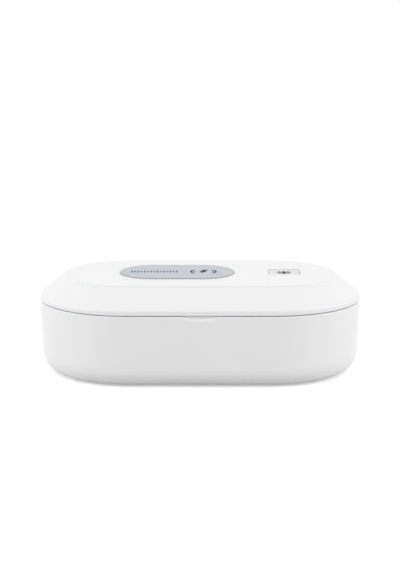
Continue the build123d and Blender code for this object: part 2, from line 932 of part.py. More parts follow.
def make_lid_shell():
    shell = around_spine(lid_section(0, lid_rim, crease))
    raised = [(0, crease - 1), (crease_radius, crease - 1), (crease_radius, lid_top), (0, lid_top)]
    shell += around_spine(outline(raised, {2: top_step / 4}))
    shell -= around_spine(lid_section(lid_wall, lid_rim - 1, ceiling))
    for x, y in liner_screws():
        shell += post(x, y, liner_bottom + liner_cup_height, ceiling + 1, small_boss_radius)
    for x, y in charger_holes():
        shell += post(x, y, charger_board_top, ceiling + 1, small_boss_radius - 0.5)
    for x, y in switch_holes():
        shell += post(x, y, switch_board_top, ceiling + 1, small_boss_radius - 0.5)
    shell += hinge_tongue()
    for x, y in liner_screws():
        shell -= post(x, y, liner_bottom, ceiling - 1, small_screw_radius + snug)
    for x, y in charger_holes() + switch_holes():
        shell -= post(x, y, switch_board_bottom, ceiling, small_screw_radius + snug)
    shell -= long_plate(
        pad_x,
        pad_y,
        pad_length + 2 * seat,
        pad_width + 2 * seat,
        lid_top - pad_recess,
        lid_top + 1,
    )
    shell -= long_plate(
        pad_x, pad_y, pad_length - 2 * pad_seat, pad_width - 2 * pad_seat, ceiling - 1, lid_top
    )
    shell -= round_plate(
        button_x,
        button_y,
        button_length + 2 * slide,
        button_width + 2 * slide,
        button_corner + slide,
        ceiling - 1,
        lid_top + 1,
    )
    shell -= hinge_bores()
    return shell


def hinge_tongue():
    """The lid's hinge tongue: a barrel on the pin line and the web that carries it."""
    tongue = rod(-tongue_half, tongue_half, hinge_y, hinge_z, barrel_radius)
    tongue += block(-tongue_half, tongue_half, tongue_inner, end_radius, hinge_z, tongue_top)
    return tongue & around_spine(tongue_limit())


def tongue_limit():
    """Keeps the tongue's top inside the lid's rounded rim."""
    section = lid_section(lid_wall / 2, hinge_z - 2 * barrel_radius, crease)
    wide = [
        (0, hinge_z - 2 * barrel_radius),
        (end_radius, hinge_z - 2 * barrel_radius),
        (end_radius, lid_rim + 1),
        (0, lid_rim + 1),
    ]
    return section + outline(wide)


def hinge_bores():
    """Bores for the pin and the pin tube, and the lead's way up into the lid."""
    left = rod(
        -tongue_half - 1, -tongue_half + pin_grip_lid + slide, hinge_y, hinge_z, pin_radius + run
    )
    right = rod(
        tongue_half - pin_grip_lid - slide, tongue_half + 1, hinge_y, hinge_z, pin_tube_radius + run
    )
    channel = rod(lead_rise - lead_hole, tongue_half, hinge_y, hinge_z, lead_hole)
    way_up = Plane(
        (lead_rise, hinge_y, hinge_z), z_dir=(0, -lead_lean, liner_bottom - hinge_z)
    ) * Cylinder(lead_hole, 9.5, align=(Align.CENTER, Align.CENTER, Align.MIN))
    groove = block(
        lead_rise - lead_hole,
        lead_rise + lead_hole,
        tongue_inner - 1,
        hinge_y,
        rim,
        tongue_top + seat,
    )
    return left + right + channel + way_up + groove


def liner_screws():
    middle = [(-liner_middle_x, liner_middle_y), (liner_middle_x, liner_middle_y)]
    return corners(liner_screw_x, liner_screw_y) + middle


def charger_holes():
    x0, x1 = charger_board_left + 3.5, charger_board_right - 3.5
    y0, y1 = charger_board_front + 3.5, charger_board_back - 3.5
    return [(x0, y0), (x1, y0), (x0, y1), (x1, y1)]


def switch_holes():
    x, y = switch_board_x - 2.6, switch_board_y - 2.8
    return [(button_x + dx, button_y + dy) for dx, dy in corners(x, y)]


def make_charge_pad():
    top = lid_top - pad_recess + pad_thick
    pad = long_plate(pad_x, pad_y, pad_length, pad_width, lid_top - pad_recess, top)
    return fillet(pad.edges().group_by(Axis.Z)[-1], pad_edge)


def make_charging_coil():
    top = ceiling - seat
    ring = post(pad_x, pad_y, top - coil_thick, top, coil_outer)
    return ring - post(pad_x, pad_y, top - 2 * coil_thick, top + 1, coil_inner)


def make_ferrite():
    top = ceiling - seat - coil_thick
    return round_plate(pad_x, pad_y, ferrite_length, ferrite_width, 3, top - ferrite_thick, top)


def make_coil_leads():
    """The coil's two ends, over the edge of the ferrite plate to the board."""
    z = ceiling - seat - coil_thick / 2
    start = pad_y + coil_outer + snug
    turn = start + 2 * coil_lead_radius
    wires = []
    for side in (-1, 1):
        x = pad_x + side * 2 * coil_lead_radius
        points = [(x, start, z), (x, turn, z), (x, turn, charger_board_top)]
        wires.append(lead(points, 1.5 * coil_lead_radius, radius=coil_lead_radius))
    return wires


def make_charger_board():
    return drilled_board(
        charger_board_left,
        charger_board_right,
        charger_board_front,
        charger_board_back,
        charger_board_bottom,
        charger_holes(),
    )


lid_plug_x = charger_board_right - 4.5
lid_plug_end = lid_plug_x + 3.5
lid_plug_height = 3.8
supply_y = 14.0
switch_y = 4.0
lamp_y = -6.0
left_plug_y = 2.0


def make_charger_parts():
    top = charger_board_bottom
    parts = [
        hung(-20, 8, 7, 7, 1.0, top),
        hung(-4, 10, 7, 7, 3.0, top),
        hung(-30, -4, 5, 4, 1.5, top),
        hung(-8, -8, 9, 4, 2.2, top),
        hung(charger_board_left + 4.5, left_plug_y, 7, 6, lid_plug_height, top),
    ]
    for y in (supply_y, switch_y, lamp_y):
        parts.append(hung(lid_plug_x, y, 7, 6, lid_plug_height, top))
    return parts


def make_charger_screws():
    body = screw(small_screw_radius, board_thick + 2.0, small_head_radius, small_head_height)
    return [Pos(x, y, charger_board_bottom) * body for x, y in charger_holes()]


def make_switch_board():
    return drilled_board(
        button_x - switch_board_x,
        button_x + switch_board_x,
        button_y - switch_board_y,
        button_y + switch_board_y,
        switch_board_bottom,
        switch_holes(),
    )


def make_switch_screws():
    body = screw(small_screw_radius, board_thick + 3.5, small_head_radius, small_head_height)
    return [Pos(x, y, switch_board_bottom) * body for x, y in switch_holes()]


def make_tact_switch():
    half = switch_side / 2
    body = block(
        button_x - half, button_x + half, button_y - half, button_y + half, switch_board_top, switch_top
    )
    bore_bottom = plunger_top - plunger_length - button_travel - 0.1
    return body - post(button_x, button_y, bore_bottom, switch_top + 1, plunger_radius + seat / 2)


def make_switch_plunger():
    return post(button_x, button_y, plunger_top - plunger_length, plunger_top, plunger_radius)


def make_button_lights():
    """Two small lamps on the switch board that light the button's sign."""
    lights = []
    for dx in (-6.0, 6.0):
        x = button_x + dx
        lights.append(block(x - 1.4, x + 1.4, button_y - 1, button_y + 1, switch_board_top, switch_board_top + 1.2))
    return lights


def make_button_cap():
    cap = round_plate(
        button_x, button_y, button_length, button_width, button_corner, button_flange_bottom, button_top
    )
    cap = fillet(cap.edges().group_by(Axis.Z)[-1], 0.3)
    cap += round_plate(
        button_x,
        button_y,
        button_length + 2 * button_flange,
        button_width + 2 * button_flange,
        button_corner + button_flange,
        button_flange_bottom,
        button_flange_top,
    )
    return cap + post(button_x, button_y, plunger_top, button_flange_bottom + 0.2, plunger_radius + 0.5)


def liner_edge(z):
    """The liner's half width at a height, clear of the inside of the lid's slope."""
    rise = crease - lid_corner
    slope = hypot(slope_run, rise)
    corner_z = lid_corner - lid_wall * (slope - rise) / slope_run
    inside = end_radius - lid_wall - max(z - corner_z, 0) * slope_run / rise
    return inside - 2 * seat


def make_lid_liner():
    points = [
        (0, liner_bottom),
        (liner_edge(liner_bottom), liner_bottom),
        (liner_edge(liner_top), liner_top),
        (0, liner_top),
    ]
    liner = around_spine(outline(points))
    liner += lid_lamp_place * trough_box()
    for x, y in liner_screws():
        liner += post(x, y, liner_bottom, liner_bottom + liner_cup_height, liner_cup_radius)
    liner += post(magnet_x, 0, liner_bottom, liner_top + 1.6, magnet_radius + seat + 1)
    liner -= post(magnet_x, 0, liner_top, ceiling, magnet_radius + seat)
    for x, y in liner_screws():
        low = liner_bottom + liner_cup_height - liner_cup_floor
        liner -= post(x, y, liner_bottom - 1, low, small_head_radius + slide)
        liner -= post(x, y, liner_bottom, ceiling, small_screw_radius + seat)
    liner -= lid_lamp_place * trough_room()
    liner -= block(
        -tongue_half - seat,
        tongue_half + seat,
        tongue_inner - seat,
        end_radius,
        liner_bottom - 1,
        liner_top + 1,
    )
    liner -= block(
        lead_rise - 2 * lead_radius,
        lead_rise + 2 * lead_radius,
        tongue_inner - 5 * lead_radius,
        end_radius,
        liner_bottom - 1,
        liner_top + 1,
    )
    return liner


def make_liner_screws():
    body = screw(small_screw_radius, liner_cup_floor + 5.0, small_head_radius, small_head_height)
    z = liner_bottom + liner_cup_height - liner_cup_floor
    return [Pos(x, y, z) * body for x, y in liner_screws()]


def make_lid_magnet():
    return post(magnet_x, 0, liner_top, liner_top + magnet_thick, magnet_radius)


def make_hinge_lead_lid():
    """The supply lead's other half, from the pin line up to the charger board."""
    plug_z = charger_board_bottom - lid_plug_height / 2
    lean = lead_lean * 8.2 / (liner_bottom - hinge_z)
    points = [
        (lead_meet - snug, hinge_y, hinge_z),
        (lead_rise, hinge_y, hinge_z),
        (lead_rise, hinge_y - lean, hinge_z + 8.2),
        (lead_rise, hinge_y - 6.4, plug_z - 2.1),
        (liner_middle_x + 5.5, hinge_y - 14.6, plug_z),
        (liner_middle_x + 5.5, supply_y, plug_z),
        (lid_plug_end, supply_y, plug_z),
    ]
    return lead(points, [1.3, 3.0, 4.0, 5.0, 5.0])


def make_lid_lamp_leads():
    """Both ways are drawn in the lid's own frame and end at the charger board's plugs."""
    z = liner_bottom - lamp_z
    plug_z = charger_board_bottom - lid_plug_height / 2
    start = lamp_half_length + seat
    right = [
        (start, lid_lamp_y, z),
        (lamp_lead_x - 1.0, lid_lamp_y, z),
        (lamp_lead_x - 3.5, lid_lamp_y + 12.6, plug_z),
        (button_x - 17.0, lid_lamp_y + 14.2, plug_z),
        (lid_plug_end + 9.0, lamp_y, plug_z),
        (lid_plug_end, lamp_y, plug_z),
    ]
    left = [
        (-start, lid_lamp_y, z),
        (1.0 - lamp_lead_x, lid_lamp_y, z),
        (3.0 - lamp_lead_x, lid_lamp_y + 17.5, plug_z),
        (charger_board_left - 9.0, left_plug_y, plug_z),
        (charger_board_left + 1.0, left_plug_y, plug_z),
    ]
    return [lead(right, [3.4, 5.0, 8.0, 4.0]), lead(left, [3.4, 6.0, 3.5])]


def make_switch_lead():
    """From the switch board across to the charger board."""
    z = charger_board_bottom - lid_plug_height / 2
    board_edge = button_x - switch_board_x
    board_z = switch_board_bottom + board_thick / 2
    points = [
        (board_edge, 8.0, board_z),
        (board_edge - 6.0, 8.0, board_z),
        (lid_plug_end + 7.0, switch_y, z),
        (lid_plug_end, switch_y, z),
    ]
    return lead(points, [5.0, 5.0], radius=thin_lead_radius)


# ------------------------------------------------------------------------ writing
def write(name, shape):
    """Writes one piece, or a group of like pieces, as one file."""
    if isinstance(shape, list):
        shape = Compound(children=[one for one in shape])
    export_step(shape, f"parts/{name}.step")


def main():
    os.makedirs("parts", exist_ok=True)
    pieces = {
        "base_shell": make_base_shell(),
        "chamber_tub": make_chamber_tub(),
        "phone_rests": make_phone_rests(),
        "rubber_feet": make_rubber_feet(),
        "base_screws": make_base_screws(),
        "main_board": make_main_board(),
        "main_board_parts": make_main_board_parts(),
        "usb_shell": make_usb_shell(),
        "usb_tongue": make_usb_tongue(),
        "lamp_driver_board": make_driver_board(),
        "lamp_transformer": make_lamp_transformer(),
        "lamp_driver_parts": make_driver_parts(),
        "board_screws": make_board_screws(),
        "lid_sensor": make_lid_sensor(),
        "hinge_pin": make_hinge_pin(),
        "hinge_pin_tube": make_hinge_tube(),
        "hinge_lead_base": make_hinge_lead_base(),
        "sensor_lead": make_sensor_lead(),
        "driver_lead": make_driver_lead(),
        "rim_pads": make_rim_pads(),
        "base_lamp_leads": make_base_lamp_leads(),
        "lid_shell": make_lid_shell(),
        "charge_pad": make_charge_pad(),
        "charging_coil": make_charging_coil(),
        "ferrite_plate": make_ferrite(),
        "coil_leads": make_coil_leads(),
        "charger_board": make_charger_board(),
        "charger_parts": make_charger_parts(),
        "charger_screws": make_charger_screws(),
        "switch_board": make_switch_board(),
        "switch_screws": make_switch_screws(),
        "tact_switch": make_tact_switch(),
        "button_lights": make_button_lights(),
        "button_cap": make_button_cap(),
        "switch_plunger": make_switch_plunger(),
        "lid_liner": make_lid_liner(),
        "liner_screws": make_liner_screws(),
        "lid_magnet": make_lid_magnet(),
        "hinge_lead_lid": make_hinge_lead_lid(),
        "lid_lamp_leads": make_lid_lamp_leads(),
        "switch_lead": make_switch_lead(),
    }
    for where, place in (("base", base_lamp_place), ("lid", lid_lamp_place)):
        pieces[f"{where}_lamp_reflector"] = placed(place, lamp_reflector())
        pieces[f"{where}_lamp_tube"] = placed(place, lamp_tube())
        pieces[f"{where}_lamp_boots"] = placed(place, lamp_boots())
        pieces[f"{where}_lamp_guard"] = placed(place, lamp_guard())
    for name, shape in pieces.items():
        write(name, shape)


main()
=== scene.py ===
# %% [markdown]
# A phone sanitizer box, dressed round its CAD model
#
# The box is white, stadium-shaped and closed by a bevelled lid. The lid swings back on a
# hidden hinge. Inside is a bright chamber with an ultraviolet lamp in its floor and
# another one in the lid. The lid's top carries a soft charging pad and a push button.
# The CAD model brings the rigid shapes. This lesson adds light, a camera, real materials
# and the fine pieces that a CAD model leaves out.

# %% The frame
import json
import math

import bmesh
import bpy
from mathutils import Matrix, Vector


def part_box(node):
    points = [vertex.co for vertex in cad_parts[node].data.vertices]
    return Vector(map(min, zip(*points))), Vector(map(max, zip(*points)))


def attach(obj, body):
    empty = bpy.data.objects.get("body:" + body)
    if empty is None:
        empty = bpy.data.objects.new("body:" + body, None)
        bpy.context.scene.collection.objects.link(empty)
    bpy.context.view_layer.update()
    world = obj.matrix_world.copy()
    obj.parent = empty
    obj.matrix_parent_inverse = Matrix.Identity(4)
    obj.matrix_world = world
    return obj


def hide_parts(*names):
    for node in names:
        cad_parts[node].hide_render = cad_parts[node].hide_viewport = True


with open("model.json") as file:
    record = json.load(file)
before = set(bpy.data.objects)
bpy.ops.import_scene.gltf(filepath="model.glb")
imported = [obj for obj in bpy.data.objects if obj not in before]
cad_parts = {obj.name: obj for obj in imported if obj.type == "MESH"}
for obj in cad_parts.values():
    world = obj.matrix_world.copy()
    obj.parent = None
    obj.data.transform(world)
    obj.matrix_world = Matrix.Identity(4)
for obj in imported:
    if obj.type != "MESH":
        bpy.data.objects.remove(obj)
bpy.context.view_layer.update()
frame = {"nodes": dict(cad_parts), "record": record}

MM = 0.001
nodes = frame["nodes"]

# %% [markdown]
# The default scene holds a cube, a lamp and a camera. A lesson starts on a clean bench,
# so they go. An operator works on all that is selected, and a fresh import stays
# selected, so a small helper lets go of everything first.

# %% A clean bench
for leftover in ("Cube", "Light", "Camera"):
    if leftover in bpy.data.objects:
        bpy.data.objects.remove(bpy.data.objects[leftover], do_unlink=True)


def let_go():
    """Deselects every object."""
    for thing in bpy.context.selected_objects:
        thing.select_set(False)
    bpy.context.view_layer.objects.active = None


let_go()

# %% [markdown]
# The camera stands low in front of the box and looks down 12 degrees, through a long
# lens, as one does for a product picture. It could be aimed with a Track To constraint,
# but two plain numbers, a place and a tilt, say the same and can't drift.

# %% Camera
CAMERA_PLACE = (0.0, -0.95475, 0.2585)
CAMERA_TILT = 12.03  # degrees below the level
SENSOR_WIDTH = 36.0  # mm
FOCAL_LENGTH = 133.7  # mm
bpy.ops.object.camera_add(location=CAMERA_PLACE, rotation=(math.radians(90 - CAMERA_TILT), 0, 0))
camera = bpy.context.object
camera.name = "product_camera"
camera.data.sensor_fit = "HORIZONTAL"
camera.data.sensor_width = SENSOR_WIDTH
camera.data.lens = FOCAL_LENGTH
camera.data.clip_end = 100
bpy.context.scene.camera = camera
bpy.context.scene.view_settings.view_transform = "Standard"
print("camera", [round(v, 3) for v in camera.location], "lens", camera.data.lens)

# %% [markdown]
# A material is a small net of nodes. One function adds a node, sets its values and joins
# its inputs, whatever its kind, so each finish below reads like a recipe. Colours are
# written as the hex values that a screen shows. The shader counts in linear light, so a
# second function turns one into the other.


# %% Colour and node helpers
def linear(code):
    """Turns an sRGB hex value such as '#F1F1F2' into linear light."""
    shown = [int(code[i : i + 2], 16) / 255 for i in (1, 3, 5)]
    light = [c / 12.92 if c <= 0.04045 else ((c + 0.055) / 1.055) ** 2.4 for c in shown]
    return (*light, 1.0)


def add(tree, kind, values=None, joins=None, **settings):
    """Adds a node to a tree: values by input, joins from an output to each input."""
    made = tree.nodes.new(kind)
    for name, value in settings.items():
        setattr(made, name, value)
    for socket, value in (values or {}).items():
        made.inputs[socket].default_value = value
    for socket, source in (joins or {}).items():
        tree.links.new(source, made.inputs[socket])
    return made


def new_finish(name):
    """An empty material and its tree."""
    finish = bpy.data.materials.new(name)
    finish.use_nodes = True
    finish.node_tree.nodes.clear()
    return finish, finish.node_tree


WHITE = linear("#FFFFFF")
print("white plastic in linear light", [round(c, 3) for c in linear("#F1F1F2")])

# %% [markdown]
# The floor and the world are the stage. A product picture has a white ground that keeps
# only a soft contact shadow. The floor is a matt sheet, grey enough to leave the turned
# under edge of the box dark. To the camera, and in clear reflections, it is white and
# glows a little, so that its open part reaches white while the shadow stays. That glow
# lights nothing, because only those rays see it.


# %% What the camera sees of the stage
def plainly_seen(tree):
    """1 for the camera, for clear reflections and through glass, and 0 for other rays."""
    rays = add(tree, "ShaderNodeLightPath")
    shown = rays.outputs["Is Camera Ray"]
    for kind in ("Is Glossy Ray", "Is Transmission Ray"):
        joins = {0: shown, 1: rays.outputs[kind]}
        shown = add(tree, "ShaderNodeMath", joins=joins, operation="MAXIMUM").outputs[0]
    return shown


print("the stage has one switch for what is seen")

# %% Floor
FLOOR_SIZE = 40.0
FLOOR_TONE = "#D1D1D1"
FLOOR_GLOW = 0.4
bpy.ops.mesh.primitive_grid_add(x_subdivisions=8, y_subdivisions=8, size=FLOOR_SIZE)
floor = bpy.context.object
floor.name = "studio_floor"
floor_sheet, tree = new_finish("matt_white_sheet")
seen = plainly_seen(tree)
glow_level = add(tree, "ShaderNodeMath", {1: FLOOR_GLOW}, {0: seen}, operation="MULTIPLY")
tone = add(
    tree,
    "ShaderNodeMix",
    {"A": linear(FLOOR_TONE), "B": WHITE},
    {"Factor": seen},
    data_type="RGBA",
)
sheet = add(tree, "ShaderNodeBsdfDiffuse", joins={"Color": tone.outputs["Result"]})
glow = add(tree, "ShaderNodeEmission", {"Color": WHITE}, {"Strength": glow_level.outputs[0]})
both = add(tree, "ShaderNodeAddShader", joins={0: sheet.outputs[0], 1: glow.outputs[0]})
add(tree, "ShaderNodeOutputMaterial", joins={"Surface": both.outputs[0]})
floor.data.materials.append(floor_sheet)
print("floor", FLOOR_SIZE, "m")

# %% [markdown]
# The light is that of a white tent. The world is the tent and gives most of the light. A
# soft box behind grazes the lid and makes its flat top the brightest part, one high in
# front catches the slanted foot of the thumb notch, and two at the sides lift the round
# ends, so that the long face stays a step darker. The strengths are set so that a white
# plastic turned to the light renders about as its own colour.

# %% World and lamps
WORLD_LEVEL = 0.69
world = bpy.data.worlds.new("white_tent")
bpy.context.scene.world = world
world.use_nodes = True
tree = world.node_tree
tree.nodes.clear()
seen = plainly_seen(tree)
level = add(tree, "ShaderNodeMapRange", {"To Min": WORLD_LEVEL, "To Max": 1.0}, {"Value": seen})
sky = add(tree, "ShaderNodeBackground", {"Color": WHITE}, {"Strength": level.outputs[0]})
add(tree, "ShaderNodeOutputWorld", joins={"Surface": sky.outputs[0]})

SOFT_BOXES = {
    # name: place, what it points at, width, height, watts
    "back": ((0.0, 1.3, 0.85), (0.0, 0.0, 0.05), 1.6, 0.8, 2.0),
    "front": ((0.0, -0.85, 1.25), (0.0, 0.0, 0.03), 1.2, 0.7, 4.0),
    "left": ((-1.5, -0.25, 0.45), (0.0, 0.0, 0.03), 1.1, 0.9, 6.5),
    "right": ((1.5, -0.25, 0.45), (0.0, 0.0, 0.03), 1.1, 0.9, 6.5),
}
for name, (place, target, width, height, watts) in SOFT_BOXES.items():
    bpy.ops.object.light_add(type="AREA", location=place)
    lamp = bpy.context.object
    lamp.name = "soft_box_" + name
    lamp.rotation_euler = (Vector(target) - Vector(place)).to_track_quat("-Z", "Y").to_euler()
    lamp.data.shape = "RECTANGLE"
    lamp.data.size = width
    lamp.data.size_y = height
    lamp.data.energy = watts
print("lamps", list(SOFT_BOXES))

# %% [markdown]
# The shells are moulded in white ABS. The mould is spark eroded, which leaves a very
# fine grain: the gloss turns satin and highlights spread. Real grain is under 0.1 mm, so
# it is drawn at 0.35 mm, where it can just show. Sink marks and flow make the colour
# drift a little over some centimetres. Object coordinates are in metres, so a noise of
# scale 1 / size has patches of about that size.

# %% Moulded white ABS
GRAIN = 0.35 * MM
FLOW = 45 * MM


def moulded_plastic(
    name, light_tone, dark_tone, smooth, rough, grain=GRAIN, depth=0.01 * MM, shine=0.5
):
    """A matt or satin moulded plastic: grain in its bump, flow in its colour and gloss."""
    finish, tree = new_finish(name)
    place = add(tree, "ShaderNodeTexCoord").outputs["Object"]
    flow = add(tree, "ShaderNodeTexNoise", {"Scale": 1 / FLOW, "Detail": 3.0}, {"Vector": place})
    tone = add(
        tree,
        "ShaderNodeMix",
        {"A": linear(dark_tone), "B": linear(light_tone)},
        {"Factor": flow.outputs["Fac"]},
        data_type="RGBA",
    )
    gloss = add(
        tree,
        "ShaderNodeMapRange",
        {"To Min": smooth, "To Max": rough},
        {"Value": flow.outputs["Fac"]},
    )
    pits = add(tree, "ShaderNodeTexNoise", {"Scale": 1 / grain, "Detail": 2.0}, {"Vector": place})
    bump = add(
        tree,
        "ShaderNodeBump",
        {"Strength": 0.5, "Distance": depth},
        {"Height": pits.outputs["Fac"]},
    )
    shader = add(
        tree,
        "ShaderNodeBsdfPrincipled",
        {"IOR": 1.52, "Specular IOR Level": shine},
        {
            "Base Color": tone.outputs["Result"],
            "Roughness": gloss.outputs["Result"],
            "Normal": bump.outputs["Normal"],
        },
    )
    add(tree, "ShaderNodeOutputMaterial", joins={"Surface": shader.outputs[0]})
    return finish


white_abs = moulded_plastic("moulded_white_abs", "#F3F3F4", "#F0F0F1", 0.38, 0.46, shine=0.2)
button_abs = moulded_plastic("moulded_button_abs", "#DFDFE1", "#DCDCDE", 0.36, 0.44)
guard_plastic = moulded_plastic("moulded_guard_plastic", "#EDEDEE", "#E8E8EA", 0.4, 0.5)
part_resin = moulded_plastic(
    "moulded_black_resin", "#2A2B2D", "#232426", 0.45, 0.6, grain=0.15 * MM
)
print("plastics", [m.name for m in (white_abs, button_abs, guard_plastic, part_resin)])

# %% [markdown]
# The chamber and the lid's lining are the same plastic under a film of aluminium, put on
# in a vacuum so that the ultraviolet light bounces about. The film is metal to the eye,
# but it follows the plastic below, so its reflection is soft and ripples slightly, like
# orange peel, over about 3 mm.

# %% Metallised chamber plastic
ORANGE_PEEL = 3 * MM
metallised_abs, tree = new_finish("metallised_abs")
place = add(tree, "ShaderNodeTexCoord").outputs["Object"]
flow = add(tree, "ShaderNodeTexNoise", {"Scale": 1 / FLOW, "Detail": 3.0}, {"Vector": place})
peel = add(
    tree, "ShaderNodeTexNoise", {"Scale": 1 / ORANGE_PEEL, "Detail": 2.0}, {"Vector": place}
)
pits = add(tree, "ShaderNodeTexNoise", {"Scale": 1 / GRAIN, "Detail": 2.0}, {"Vector": place})
tone = add(
    tree,
    "ShaderNodeMix",
    {"A": linear("#C9CBCE"), "B": linear("#D3D5D8")},
    {"Factor": flow.outputs["Fac"]},
    data_type="RGBA",
)
gloss = add(
    tree, "ShaderNodeMapRange", {"To Min": 0.2, "To Max": 0.3}, {"Value": flow.outputs["Fac"]}
)
ripple = add(
    tree,
    "ShaderNodeBump",
    {"Strength": 0.4, "Distance": 0.03 * MM},
    {"Height": peel.outputs["Fac"]},
)
bump = add(
    tree,
    "ShaderNodeBump",
    {"Strength": 0.3, "Distance": 0.006 * MM},
    {"Height": pits.outputs["Fac"], "Normal": ripple.outputs["Normal"]},
)
shader = add(
    tree,
    "ShaderNodeBsdfPrincipled",
    {"Metallic": 1.0},
    {
        "Base Color": tone.outputs["Result"],
        "Roughness": gloss.outputs["Result"],
        "Normal": bump.outputs["Normal"],
    },
)
add(tree, "ShaderNodeOutputMaterial", joins={"Surface": shader.outputs[0]})
print("chamber finish", metallised_abs.name)

# %% [markdown]
# The soft pieces are silicone and rubber. Both are matt, and dust and touch leave faint
# patches of about a centimetre. Silicone scatters light at a glancing view, which a
# little sheen shows. Their moulded skin is finer than a render can show, so its grain is
# drawn at 0.2 to 0.5 mm. The lead's sheath is the smoothest, the feet are the roughest.

# %% Silicone and rubber
PATCH = 12 * MM


def soft_rubber(name, light_tone, dark_tone, rough, grain, sheen=0.0, side_shade_tone=None):
    """A matt rubber or silicone with a fine skin and faint patches; a side tone, if given, paints
    shade on the faces that turn from the top.
    """
    finish, tree = new_finish(name)
    spots = add(tree, "ShaderNodeTexCoord")
    place = spots.outputs["Object"]
    patches = add(tree, "ShaderNodeTexNoise", {"Scale": 1 / PATCH, "Detail": 4.0}, {"Vector": place})
    tone = add(
        tree,
        "ShaderNodeMix",
        {"A": linear(dark_tone), "B": linear(light_tone)},
        {"Factor": patches.outputs["Fac"]},
        data_type="RGBA",
    )
    # Painted shade: faces that turn away from the top blend into the darker side tone, so a side
    # wall looks shaded by its colour.
    if side_shade_tone:
        upward = add(tree, "ShaderNodeSeparateXYZ", joins={"Vector": spots.outputs["Normal"]})
        face = add(
            tree,
            "ShaderNodeMapRange",
            {"From Min": 0.3, "From Max": 0.9},
            {"Value": upward.outputs["Z"]},
        )
        tone = add(
            tree,
            "ShaderNodeMix",
            {"A": linear(side_shade_tone)},
            {"Factor": face.outputs["Result"], "B": tone.outputs["Result"]},
            data_type="RGBA",
        )
    skin = add(tree, "ShaderNodeTexNoise", {"Scale": 1 / grain, "Detail": 3.0}, {"Vector": place})
    gloss = add(
        tree,
        "ShaderNodeMapRange",
        {"To Min": rough - 0.06, "To Max": rough + 0.06},
        {"Value": skin.outputs["Fac"]},
    )
    bump = add(
        tree,
        "ShaderNodeBump",
        {"Strength": 0.5, "Distance": 0.02 * MM},
        {"Height": skin.outputs["Fac"]},
    )
    shader = add(
        tree,
        "ShaderNodeBsdfPrincipled",
        {"IOR": 1.41, "Sheen Weight": sheen, "Sheen Roughness": 0.4},
        {
            "Base Color": tone.outputs["Result"],
            "Roughness": gloss.outputs["Result"],
            "Normal": bump.outputs["Normal"],
        },
    )
    add(tree, "ShaderNodeOutputMaterial", joins={"Surface": shader.outputs[0]})
    return finish


# The pad's side walls get a darker tone as painted shade.
pad_silicone = soft_rubber(
    "matt_pad_silicone", "#C3C6CD", "#C0C3CB", 0.55, 0.3 * MM, side_shade_tone="#A9ACB2"
)
rest_silicone = soft_rubber("grey_rest_silicone", "#A9ACB1", "#A1A4A9", 0.6, 0.3 * MM, 0.1)
boot_silicone = soft_rubber("white_boot_silicone", "#DDDDDD", "#D4D4D4", 0.6, 0.3 * MM, 0.1)
foot_rubber = soft_rubber("black_foot_rubber", "#333436", "#2A2B2D", 0.75, 0.5 * MM)
lead_sheath = soft_rubber("black_lead_sheath", "#2C2D30", "#242528", 0.45, 0.2 * MM)
print(
    "soft finishes",
    [m.name for m in (pad_silicone, rest_silicone, boot_silicone, foot_rubber, lead_sheath)],
)

# %% [markdown]
# Four metals follow. Rolled aluminium sheet, behind the lamps, has fine lines along
# the way it went through the rollers. Screws are zinc plated, and the plating's crystals
# make their gloss uneven. Hinge pins and the socket's shell are nickel plated and
# smoother. The coil is copper wire under a coat of clear enamel. Lines and crystals are
# far below a tenth of a millimetre, so they are drawn at 0.3 to 0.5 mm to show at all.


# %% Metals
def plain_metal(
    name, light_tone, dark_tone, smooth, rough, grain, stretch=(1.0, 1.0, 1.0), coat=0.0
):
    """A metal whose tone and gloss follow one noise; stretch below 1 draws it out."""
    finish, tree = new_finish(name)
    place = add(tree, "ShaderNodeTexCoord").outputs["Object"]
    drawn = add(tree, "ShaderNodeMapping", {"Scale": stretch}, {"Vector": place})
    lines = add(
        tree,
        "ShaderNodeTexNoise",
        {"Scale": 1 / grain, "Detail": 3.0},
        {"Vector": drawn.outputs["Vector"]},
    )
    tone = add(
        tree,
        "ShaderNodeMix",
        {"A": linear(dark_tone), "B": linear(light_tone)},
        {"Factor": lines.outputs["Fac"]},
        data_type="RGBA",
    )
    gloss = add(
        tree,
        "ShaderNodeMapRange",
        {"To Min": smooth, "To Max": rough},
        {"Value": lines.outputs["Fac"]},
    )
    bump = add(
        tree,
        "ShaderNodeBump",
        {"Strength": 0.3, "Distance": 0.005 * MM},
        {"Height": lines.outputs["Fac"]},
    )
    shader = add(
        tree,
        "ShaderNodeBsdfPrincipled",
        {"Metallic": 1.0, "Coat Weight": coat, "Coat Roughness": 0.1},
        {
            "Base Color": tone.outputs["Result"],
            "Roughness": gloss.outputs["Result"],
            "Normal": bump.outputs["Normal"],
        },
    )
    add(tree, "ShaderNodeOutputMaterial", joins={"Surface": shader.outputs[0]})
    return finish


rolled_aluminium = plain_metal(
    "rolled_aluminium", "#E4E5E7", "#D6D8DA", 0.14, 0.26, 0.3 * MM, (0.04, 1.0, 1.0)
)
zinc_plate = plain_metal("zinc_plated_steel", "#C3C6CA", "#A9ADB2", 0.25, 0.45, 0.4 * MM)
nickel_plate = plain_metal(
    "nickel_plated_steel", "#D0CCC4", "#BFBBB3", 0.15, 0.28, 0.5 * MM, (0.1, 1.0, 1.0)
)
enamelled_copper = plain_metal(
    "enamelled_copper", "#C97A45", "#B0622F", 0.22, 0.35, 0.5 * MM, (1.0, 1.0, 1.0), 0.6
)
print("metals", [m.name for m in (rolled_aluminium, zinc_plate, nickel_plate, enamelled_copper)])

# %% [markdown]
# The lamp tubes are quartz, because common glass would stop the ultraviolet light.
# Quartz bends light a little less than window glass. The indicator lights in the button
# are a clear moulded resin with a warm tint. Both are smooth, with a faint ripple of some
# millimetres from drawing or moulding.

# %% Quartz and clear resin
RIPPLE = 4 * MM


